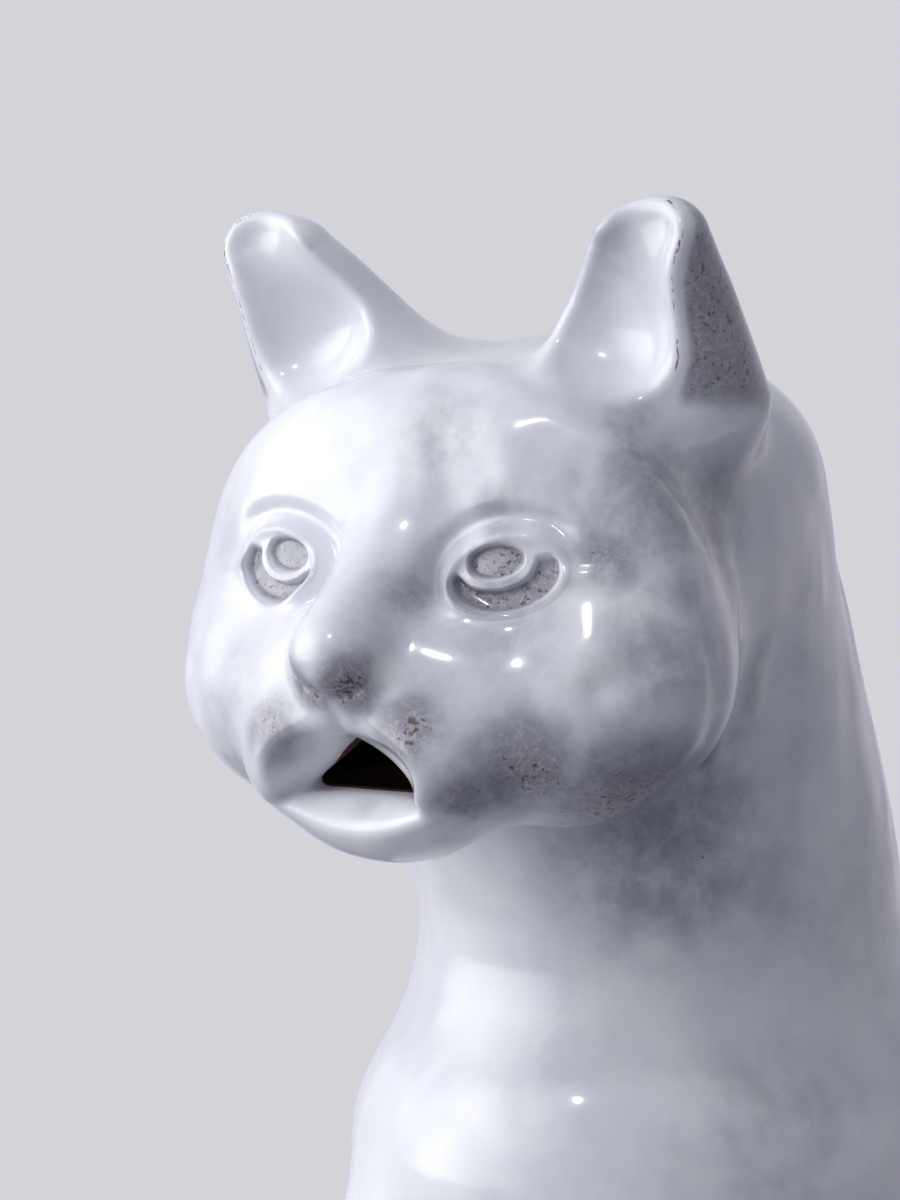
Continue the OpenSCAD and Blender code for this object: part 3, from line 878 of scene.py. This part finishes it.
def head_pieces(material):
    """Both halves of the head, with the ears and eyes cut from them as pieces of their own."""
    low, high = box_mm("head_left")
    top = box_mm("ear_left")[1]
    high = np.array([max(high[0], top[0]), high[1], top[2]])
    for side, at, part, caps in halves(low, high, HEAD_STEP, True):
        for what, cut in (("ear", ear_cut), ("eye", eye_cut)):
            inner = np.abs(hollow(at)) < np.abs(skin(at))
            value = np.where(inner, HEAD_STEP, cut(mirrored(at) - EYES))
            value[np.abs(value) < CLOSE * HEAD_STEP] = 0
            at, loose, part = split(at, part, value)
            loose_at, loose = compact(at, loose)
            edge = loose_at[np.unique(border(loose))]
            inwards = None
            if what == "eye":
                inwards = -EYE_DEEP * unit(slope(clay, edge)).mean(0)
                for _ in range(EYE_HALVINGS):
                    loose_at, loose, free = halved(loose_at, loose)
                    loose_at[free] = settled(clay, loose_at[free])
            loose_at, loose_caps = closed(loose_at, loose, NO_CAPS, edge.mean(0), inwards)
            clay_piece(what, side, loose_at, loose, loose_caps, material)
            at, caps = closed(at, part, caps, edge.mean(0), inwards)
        clay_piece("head", side, at, part, caps, material)


# Dish and holder: what the frame gives, rim, floor, base, fit of the seat, foot ring, bore, bevel of the
# rim, where the wall begins below the floor, the holder's foot, waist and top, and the turning rings with
# their distance from seat and rim.
DISH_R, DISH_TOP = box_mm("dish")[1][[0, 2]]
HOLDER_R, HOLDER_TOP = box_mm("incense_holder")[1][[0, 2]]
HOLDER_LOW = box_mm("incense_holder")[0][2]
RIM_T = 5.0
RIM_LEAN = 7.0
FLOOR_R = DISH_R - RIM_T - RIM_LEAN
BASE_R = FLOOR_R - RIM_T
SEAT_FIT = 0.4
FOOT_RING = 9.0
FOOT_HOLLOW = 1.2
STICK_R = 1.3
STICK_DEEP = 14.0
RIM_EDGE = 1.5
WALL_LOW = 3.0
HOLDER_FOOT = 2.0
HOLDER_WAIST = (6.0, 4.0)
HOLDER_TOP_R = 4.0
RING_DEEP = 0.16
RING_WIDTH = 8.5
RING_INSET = (2, 4)
# Steps along the outlines, and points around them and in a rounded corner.
DISH_STEP = 1.6
HOLDER_STEP = 0.8
TURNS = 256
ARC_N = 6
# Their glaze: where it ends above the foot of dish and holder and in the bore, how thin it is on the rims
# and how wide, and in patches of the dish with their size and the noise they start from.
DISH_BARE = 1.8
HOLDER_BARE = 1.4
BARE_FADE = 0.8
BORE_BARE = 0.4
DISH_RIM = (0.7, 1.6)
HOLDER_RIM = (0.6, 1.5)
DISH_PATCH = 0.5
DISH_PATCH_SIZE = 30
DISH_PATCH_FROM = 0.1


def rounded(outline):
    """Outline with its corners rounded off. A corner is: radius, height, rounding."""
    points = [np.array(corner[:2], float) for corner in outline]
    made = [points[0]]
    for before, at, after, corner in zip(points[:-2], points[1:-1], points[2:], outline[1:-1]):
        back, ahead = before - at, after - at
        room = min(norm(back), norm(ahead)) / 2
        back, ahead = back / norm(back), ahead / norm(ahead)
        cut = min(corner[2], room)
        for t in np.linspace(0, 1, ARC_N):
            made.append(at + cut * ((1 - t) ** 2 * back + t ** 2 * ahead))
    return np.array(made + [points[-1]])


def fine(outline, step):
    """Outline with long edges divided and repeated points left out."""
    made = [outline[0]]
    for a, b in zip(outline[:-1], outline[1:]):
        length = norm(b - a)
        count = max(int(length > FLAT), int(length / step))
        made.extend(a + (b - a) * (i + 1) / count for i in range(count))
    return np.array(made)


def ring_faces(rows, around):
    """Triangles over rows of rings, closed by two more points before the first and after the last."""
    c = np.arange(around)
    d = (c + 1) % around
    faces = []
    for r in range(rows - 1):
        a, b = r * around, (r + 1) * around
        faces.append(np.stack([a + c, a + d, b + d], 1))
        faces.append(np.stack([a + c, b + d, b + c], 1))
    end = rows * around
    last = end - around
    faces.append(np.stack([d, c, np.full(around, end)], 1))
    faces.append(np.stack([last + c, last + d, np.full(around, end + 1)], 1))
    return np.concatenate(faces)


def turned(name, node, body, outline, material, marks):
    """Piece that is turned about the dish's axis, from an outline that starts and ends on it."""
    angle = np.linspace(0, 2 * math.pi, TURNS, endpoint=False)
    ring = outline[1:-1]
    points = np.stack([np.outer(ring[:, 0], np.cos(angle)), np.outer(ring[:, 0], np.sin(angle)),
                       np.repeat(ring[:, 1:], TURNS, 1)], -1).reshape(-1, 3)
    ends = np.array([[0, 0, outline[0, 1]], [0, 0, outline[-1, 1]]])
    points = np.concatenate([points, ends])
    faces = ring_faces(len(ring), TURNS)
    make_piece(name, node, body, points, faces, NO_CAPS, face_normals(points, faces), marks(points),
               material)


def face_normals(points, faces):
    """Smooth normals from the faces around each point."""
    total = np.zeros_like(points)
    for i in range(3):
        np.add.at(total, faces[:, i], face_vectors(points, faces))
    return unit(total)


def dish_marks(points):
    """Bare foot, and glaze that is thin on the rim."""
    z = points[:, 2]
    rim = DISH_RIM[0] * bell(z - DISH_TOP, DISH_RIM[1])
    patches = DISH_PATCH * np.maximum(noise(points, DISH_PATCH_SIZE, 6) - DISH_PATCH_FROM, 0)
    return {"bare": smooth((DISH_BARE - z) / BARE_FADE), "thin_glaze_and_shade": np.clip(rim + patches, 0, 1)}


def holder_marks(points):
    """Thin glaze on the holder's edges and bare clay in its bore and underneath."""
    z = points[:, 2]
    r = norm(points[:, :2], axis=1)
    bore = smooth((STICK_R + BORE_BARE - r) / BORE_BARE) * (z < HOLDER_TOP - BORE_BARE)
    foot = smooth((HOLDER_LOW + HOLDER_BARE - z) / BARE_FADE)
    return {"bare": np.maximum(foot, bore), "thin_glaze_and_shade": HOLDER_RIM[0] * bell(z - HOLDER_TOP, HOLDER_RIM[1])}


def dish_piece(material):
    """The dish, with turning rings in its floor and a foot ring."""
    seat = HOLDER_R + SEAT_FIT
    ring = BASE_R - FOOT_RING
    outline = fine(rounded([
        (0, FOOT_HOLLOW, 0), (ring, FOOT_HOLLOW, 0.8), (ring + FOOT_HOLLOW, 0, 0.5),
        (BASE_R, 0, 1.0), (FLOOR_R + RIM_T, FOOT_Z - WALL_LOW, 4), (DISH_R, DISH_TOP - RIM_EDGE, 1.0),
        (DISH_R - RIM_EDGE, DISH_TOP, 1.2), (DISH_R - RIM_T + RIM_EDGE, DISH_TOP, 1.2),
        (DISH_R - RIM_T, DISH_TOP - RIM_EDGE, 1.0), (FLOOR_R, FOOT_Z, 4),
        (seat, FOOT_Z, 0.6), (seat, HOLDER_LOW, 0.3), (0, HOLDER_LOW, 0)]), DISH_STEP)
    r, z = outline.T
    floor = (z > FOOT_Z - RIM_EDGE) & (r > seat + RING_INSET[0]) & (r < FLOOR_R - RING_INSET[1])
    outline[floor, 1] -= RING_DEEP * (1 + np.cos(r[floor] * 2 * math.pi / RING_WIDTH))
    turned("dish_clay", "dish", "dish", outline, material, dish_marks)


def holder_piece(material):
    """The holder of the incense stick."""
    bottom = HOLDER_TOP - STICK_DEEP
    outline = fine(rounded([
        (0, HOLDER_LOW, 0), (HOLDER_R, HOLDER_LOW, 0.5), (HOLDER_R, FOOT_Z + HOLDER_FOOT, 1.0),
        (HOLDER_WAIST[0], FOOT_Z + HOLDER_WAIST[1], 2.0), (HOLDER_TOP_R, HOLDER_TOP, 0.8),
        (STICK_R, HOLDER_TOP, 0.4), (STICK_R, bottom, 0.2), (0, bottom, 0)]), HOLDER_STEP)
    turned("holder_clay", "incense_holder", "holder", outline, material, holder_marks)


# Tail: radii at root and tip, where they lie around the body, how high and how far along the root rises,
# the gap under it, how far it is pressed on, its rounded and blunt ends, and wobble and patches of thin
# glaze, each with its size.
TAIL_R = (9.0, 6.5)
TAIL_TURN = (88.0, -58.0)
TAIL_RISE = 16.0
TAIL_LIFT = 0.25
TAIL_CLEAR = 0.5
TAIL_PRESS = 0.5
TAIL_ROUND = 0.06
TAIL_BLUNT = 0.0004
TAIL_WOBBLE = (0.25, 15)
TAIL_THIN = (0.5, 25)
TAIL_RINGS = 150
TAIL_AROUND = 36
# How far from its middle the body's side is looked for, and the halvings that find it.
SIDE_MOST = 130.0
HALVINGS = 24


def outward(start, way, level):
    """Points on rays from start where the plain cat is this far away."""
    low = np.zeros(len(start))
    high = np.full(len(start), SIDE_MOST)
    for _ in range(HALVINGS):
        mid = (low + high) / 2
        inside = plain_cat(start + mid[:, None] * way) < level
        low = np.where(inside, mid, low)
        high = np.where(inside, high, mid)
    return start + high[:, None] * way


def beside_body(turn, z, level):
    """Points beside the body, at turns around the middle of each level."""
    middle = np.stack([np.zeros_like(z), np.zeros_like(z), z], 1)
    front = outward(middle, np.array([[0, -1.0, 0]]), 0)
    back = outward(middle, np.array([[0, 1.0, 0]]), 0)
    return outward((front + back) / 2, np.stack([np.cos(turn), np.sin(turn), 0 * turn], 1), level)


def tail_piece(material):
    """The tail, laid round the left haunch."""
    s = np.linspace(0, 1, TAIL_RINGS)
    radius = TAIL_R[0] + (TAIL_R[1] - TAIL_R[0]) * s
    turn = np.radians(TAIL_TURN[0] + (TAIL_TURN[1] - TAIL_TURN[0]) * s)
    lie = TAIL_CLEAR + radius
    low = beside_body(turn, FOOT_Z + lie, radius)
    reach = norm(low[:, :2], axis=1) + radius
    over = FOOT_Z + (DISH_TOP - FOOT_Z) * np.clip((reach - FLOOR_R) / RIM_LEAN, 0, 1)
    rise = FOOT_Z + TAIL_RISE * np.maximum(0, 1 - s / TAIL_LIFT) ** 2
    middle = beside_body(turn, lie + np.maximum(rise, over), radius - TAIL_PRESS)
    along = unit(np.gradient(middle, axis=0))
    aside = unit(np.cross(along, [0, 0, 1.0]))
    up = np.cross(aside, along)
    end = np.minimum(1, np.minimum(s, 1 - s) / TAIL_ROUND)
    thick = radius * np.sqrt(np.maximum(1 - (1 - end) ** 2, TAIL_BLUNT))
    angle = np.linspace(0, 2 * math.pi, TAIL_AROUND, endpoint=False)
    points = middle[:, None] + thick[:, None, None] * (
        np.cos(angle)[None, :, None] * aside[:, None] - np.sin(angle)[None, :, None] * up[:, None])
    points = np.concatenate([points.reshape(-1, 3), middle[[0, -1]]])
    faces = ring_faces(TAIL_RINGS, TAIL_AROUND)
    normals = face_normals(points, faces)
    points = points + TAIL_WOBBLE[0] * noise(points, TAIL_WOBBLE[1], 1)[:, None] * normals
    marks = {"thin_glaze_and_shade": np.clip(TAIL_THIN[0] * np.maximum(noise(points, TAIL_THIN[1], 5), 0), 0, 1)}
    make_piece("tail_clay", "tail", "cat", points, faces, NO_CAPS, face_normals(points, faces), marks,
               material)


def add(tree, kind, inputs=None, **settings):
    """Shader node with its settings, and inputs that are values or other nodes' outputs."""
    made = tree.nodes.new("ShaderNode" + kind)
    for name, value in settings.items():
        setattr(made, name, value)
    for name, value in (inputs or {}).items():
        if isinstance(value, bpy.types.NodeSocket):
            tree.links.new(value, made.inputs[name])
        else:
            made.inputs[name].default_value = value
    return made


def empty_tree(owner):
    """Node tree of a material, lamp or world, without nodes."""
    owner.use_nodes = True
    owner.node_tree.nodes.clear()
    return owner.node_tree


def ramp(tree, value, low, high, to_low=0.0, to_high=1.0):
    """Value mapped smoothly from one range to another."""
    return add(tree, "MapRange",
               {"Value": value, "From Min": low, "From Max": high, "To Min": to_low, "To Max": to_high},
               interpolation_type="SMOOTHSTEP").outputs["Result"]


def sums(tree, how, a, b):
    """Two values put together."""
    return add(tree, "Math", {0: a, 1: b}, operation=how).outputs["Value"]


def times(tree, a, b):
    """Product of two values."""
    return sums(tree, "MULTIPLY", a, b)


def seen(tree):
    """Rays from the camera, and these together with reflected ones."""
    rays = add(tree, "LightPath").outputs
    return rays["Is Camera Ray"], sums(tree, "MAXIMUM", rays["Is Camera Ray"], rays["Is Glossy Ray"])


def blend(tree, share, a, b):
    """Two colours mixed."""
    return add(tree, "Mix", {0: share, 6: a, 7: b}, data_type="RGBA").outputs[2]


def cloud(tree, place, scale, detail, roughness):
    """Noise texture, in bumps per metre."""
    inputs = {"Vector": place, "Scale": scale, "Detail": detail, "Roughness": roughness}
    return add(tree, "TexNoise", inputs).outputs["Fac"]


# Colours of the glaze from thick to thin, and of the bare clay. The grey of thin glaze also serves as
# painted shade.
MILK = (0.80, 0.81, 0.845, 1)
MILK_BLUE = (0.66, 0.68, 0.735, 1)
MILK_GREY_AND_SHADE = (0.27, 0.285, 0.335, 1)
VEIN_GREY = (0.43, 0.43, 0.48, 1)
THIN_GREY = (0.29, 0.285, 0.315, 1)
THIN_BROWN = (0.13, 0.085, 0.08, 1)
TERRACOTTA = (0.060, 0.026, 0.020, 1)
TERRACOTTA_PALE = (0.115, 0.055, 0.042, 1)
# Noise of the glaze's clouds, blotches, mottling, veins and specks: bumps per metre, detail, roughness.
BROAD = (45, 3, 0.5)
BLOTCH = (120, 5, 0.6)
SMALL = (330, 5, 0.62)
VEIN = (400, 4, 0.6)
TINY = (950, 3, 0.5)
# Ranges over which these and the other marks come in, some with the values they lead to.
CLOUD_RANGE = (0.35, 0.75)
BLOTCH_RANGE = (0.25, 0.75, 0.6, 1.4)
HAZE_AND_SHADE_RANGE = (0.0, 0.9)
MOTTLE_RANGE = (0.85, 1.35)
VEIN_RANGE = (0.0, 0.045)
SPECK_RANGE = (0.96, 1.1)
CRACK_RANGE = (1.25, 1.5)
BARE_RANGE = (0.62, 0.82)
GLOSS_RANGE = (0.3, 0.8, 0.15, 0.28)
# How much of a noise or mark is in each of them, and how rough bare clay and cracks are.
MOTTLE_NOISE = 0.9
MOTTLE_MOST = 0.9
SPECK_THIN = 0.5
BARE_NOISE = 0.5
BARE_ROUGH = 0.85
CRACK_ROUGH = 0.6
BROAD_BUMP = 0.6
SMALL_BUMP = 0.08


def glaze_material():
    """Milky white glaze over terracotta, which shows through where it is thin. Its grey also paints
    shade.
    """
    material = bpy.data.materials.new("milky_glaze")
    tree = empty_tree(material)
    place = add(tree, "TexCoord").outputs["Object"]
    marks = {name: add(tree, "Attribute", attribute_name=name).outputs["Fac"]
             for name in ("bare", "thin_glaze_and_shade", "seam")}
    broad = cloud(tree, place, *BROAD)
    small = cloud(tree, place, *SMALL)
    tiny = cloud(tree, place, *TINY)
    veins = sums(tree, "ABSOLUTE", sums(tree, "SUBTRACT", cloud(tree, place, *VEIN), 0.5), 0.0)
    milk = blend(tree, ramp(tree, broad, *CLOUD_RANGE), MILK, MILK_BLUE)
    blotch = ramp(tree, cloud(tree, place, *BLOTCH), *BLOTCH_RANGE)
    # The thin mark also holds painted shade, so this grey haze paints shade on the left side, jaw and
    # neck.
    haze_and_shade = ramp(tree, times(tree, marks["thin_glaze_and_shade"], blotch), *HAZE_AND_SHADE_RANGE)
    milk = blend(tree, haze_and_shade, milk, MILK_GREY_AND_SHADE)
    uneven = sums(tree, "ADD", marks["thin_glaze_and_shade"], times(tree, small, MOTTLE_NOISE))
    mottle = times(tree, ramp(tree, uneven, *MOTTLE_RANGE), MOTTLE_MOST)
    grey = blend(tree, ramp(tree, veins, *VEIN_RANGE), VEIN_GREY, THIN_GREY)
    colour = blend(tree, mottle, milk, grey)
    speck = sums(tree, "ADD", times(tree, marks["thin_glaze_and_shade"], SPECK_THIN), tiny)
    colour = blend(tree, ramp(tree, speck, *SPECK_RANGE), colour, THIN_BROWN)
    crack = ramp(tree, sums(tree, "ADD", marks["seam"], small), *CRACK_RANGE)
    colour = blend(tree, crack, colour, THIN_BROWN)
    earth = blend(tree, small, TERRACOTTA, TERRACOTTA_PALE)
    bare = sums(tree, "ADD", marks["bare"], times(tree, small, BARE_NOISE))
    bare = ramp(tree, bare, *BARE_RANGE)
    colour = blend(tree, bare, colour, earth)
    gloss = ramp(tree, broad, *GLOSS_RANGE)
    rough = sums(tree, "MAXIMUM", gloss, times(tree, bare, BARE_ROUGH))
    rough = sums(tree, "MAXIMUM", rough, times(tree, crack, CRACK_ROUGH))
    height = sums(tree, "ADD", times(tree, broad, BROAD_BUMP), times(tree, small, SMALL_BUMP))
    bumps = add(tree, "Bump", {"Height": height, "Strength": 0.25, "Distance": 0.0006})
    shader = add(tree, "BsdfPrincipled",
                 {"Base Color": colour, "Roughness": rough, "Normal": bumps.outputs["Normal"],
                  "Specular IOR Level": 0.3, "Coat Weight": 0.42, "Coat Roughness": 0.03})
    add(tree, "OutputMaterial", {"Surface": shader.outputs["BSDF"]})
    return material


# Background, and the floor: half its size, where it starts and ends to run into the background, its
# colours, the darker one that its light on the cat has, and the noise between them.
BACKGROUND = (0.655, 0.655, 0.705, 1)
FLOOR_SIZE = 8.0
FLOOR_NEAR = 0.25
FLOOR_FADE = 0.55
FLOOR_PALE = (0.80, 0.80, 0.84, 1)
FLOOR_PALER = (0.86, 0.86, 0.89, 1)
FLOOR_DIM = (0.30, 0.30, 0.33, 1)
FLOOR_GRAIN = (6, 3, 0.5)


def floor_piece():
    """Pale floor that keeps the shadow near the cat and runs into the background further away."""
    material = bpy.data.materials.new("pale_floor")
    tree = empty_tree(material)
    place = add(tree, "TexCoord").outputs["Object"]
    away = add(tree, "VectorMath", {0: place}, operation="LENGTH").outputs["Value"]
    straight, any_view = seen(tree)
    share = times(tree, ramp(tree, away, FLOOR_NEAR, FLOOR_FADE), any_view)
    grain = cloud(tree, place, *FLOOR_GRAIN)
    colour = blend(tree, grain, FLOOR_PALE, FLOOR_PALER)
    colour = blend(tree, straight, FLOOR_DIM, colour)
    matt = add(tree, "BsdfDiffuse", {"Color": colour})
    plain = add(tree, "Emission", {"Color": BACKGROUND, "Strength": 1.0})
    shader = add(tree, "MixShader", {0: share, 1: matt.outputs["BSDF"], 2: plain.outputs["Emission"]})
    add(tree, "OutputMaterial", {"Surface": shader.outputs["Shader"]})
    mesh = bpy.data.meshes.new("floor")
    s = FLOOR_SIZE
    mesh.from_pydata([(-s, -s, 0), (s, -s, 0), (s, s, 0), (-s, s, 0)], [], [(0, 1, 2, 3)])
    mesh.materials.append(material)
    floor = in_scene("floor", mesh)


# Camera: its turn and height around the cat, distance, and where it looks, right of and below the eyes.
VIEW_TURN = math.radians(36)
VIEW_RISE = math.radians(3.5)
VIEW_AWAY = 0.6
VIEW_LENS = 108
VIEW_SENSOR = 36
VIEW_CLIP = 0.01
VIEW_RIGHT = 10.2
VIEW_DOWN = 4.7
TOWARDS = Vector((math.sin(VIEW_TURN) * math.cos(VIEW_RISE), -math.cos(VIEW_TURN) * math.cos(VIEW_RISE),
                  math.sin(VIEW_RISE)))
RIGHT = Vector((math.cos(VIEW_TURN), math.sin(VIEW_TURN), 0))
UP = TOWARDS.cross(RIGHT)
LOOK_AT = (Vector(EYES) + RIGHT * VIEW_RIGHT - UP * VIEW_DOWN) * MM


def placed(thing, name, at, look):
    """Camera or lamp at a place, turned to another."""
    made = in_scene(name, thing)
    made.location = at
    made.rotation_mode = "QUATERNION"
    made.rotation_quaternion = (look - at).to_track_quat("-Z", "Y")
    return made


def camera():
    """Camera at the photograph's viewing angle."""
    lens = bpy.data.cameras.new("view")
    lens.lens = VIEW_LENS
    lens.sensor_width = VIEW_SENSOR
    lens.clip_start = VIEW_CLIP
    bpy.context.scene.camera = placed(lens, "view", LOOK_AT + TOWARDS * VIEW_AWAY, LOOK_AT)


# Lamps: name, place from the head to the right, up and towards the viewer, size, power.
LAMPS = [
    ("window", (-1.20, 0.22, 0.14), 2.2, 20.5),
    ("pane", (-0.40, 0.75, 0.62), 0.13, 1.7),
]
# Where a lamp's light ends and is full, as shares of its size, and its strength there.
LAMP_EDGE = 0.5
LAMP_FULL = 0.12
LAMP_GAIN = 2.5
# Light of the surroundings from above and the left, and from the other side.
SKY_FROM = tuple(UP - RIGHT * 0.8)
SKY = (0.56, 0.57, 0.63, 1)
SKY_DARK = (0.075, 0.075, 0.10, 1)


def soften(lamp):
    """Let a lamp's light fade towards its edges."""
    tree = empty_tree(lamp)
    across = add(tree, "NewGeometry").outputs["Parametric"]
    from_middle = add(tree, "VectorMath", {0: across, 1: (0.5, 0.5, 0)}, operation="DISTANCE")
    share = ramp(tree, from_middle.outputs["Value"], LAMP_EDGE, LAMP_FULL, 0.0, LAMP_GAIN)
    shader = add(tree, "Emission", {"Strength": share})
    add(tree, "OutputLight", {"Surface": shader.outputs["Emission"]})


def lights():
    """Soft light from the left, a small bright pane, and pale surroundings."""
    for name, (right, up, towards), size, power in LAMPS:
        lamp = bpy.data.lights.new(name, "AREA")
        lamp.size = size
        lamp.energy = power
        soften(lamp)
        placed(lamp, name, LOOK_AT + RIGHT * right + UP * up + TOWARDS * towards, LOOK_AT)
    world = bpy.data.worlds.new("surroundings")
    tree = empty_tree(world)
    _, any_view = seen(tree)
    ray = add(tree, "TexCoord").outputs["Generated"]
    bright = add(tree, "VectorMath", {0: ray, 1: SKY_FROM}, operation="DOT_PRODUCT")
    sky = blend(tree, ramp(tree, bright.outputs["Value"], -1.0, 1.0), SKY_DARK, SKY)
    colour = blend(tree, any_view, sky, BACKGROUND)
    shader = add(tree, "Background", {"Color": colour, "Strength": 1.0})
    add(tree, "OutputWorld", {"Surface": shader.outputs["Background"]})
    bpy.context.scene.world = world


camera()
lights()
floor_piece()
GLAZE = glaze_material()
torso_pieces(GLAZE)
head_pieces(GLAZE)
tail_piece(GLAZE)
dish_piece(GLAZE)
holder_piece(GLAZE)

bpy.context.scene.view_settings.view_transform = "Standard"
